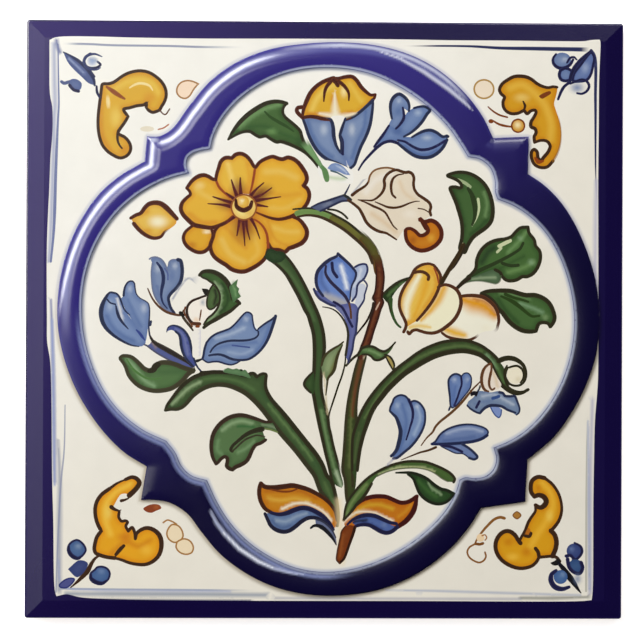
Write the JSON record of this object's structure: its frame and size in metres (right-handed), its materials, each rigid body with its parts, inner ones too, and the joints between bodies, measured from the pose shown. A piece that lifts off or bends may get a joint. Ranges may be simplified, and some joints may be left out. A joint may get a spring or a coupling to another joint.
{
  "type": "decorated ceramic wall tile",
  "caption": "Square glazed relief tile: sloped blue rim, raised blue barbed-quatrefoil moulding round a painted flower spray, corner ornaments, keyed unglazed back.",
  "frame": {"origin": "middle of the unglazed back, in the plane that it is bedded on", "axes": "+Z out of the glazed face, +Y towards the top of the picture, +X towards its right; stored lying on its back"},
  "size_m": [0.15, 0.15, 0.0097],
  "materials": {
    "glazed_ceramic": "gloss",
    "biscuit": "matte"
  },
  "bodies": {
    "root": {"tile": "glazed_ceramic"}
  },
  "joints": []
}
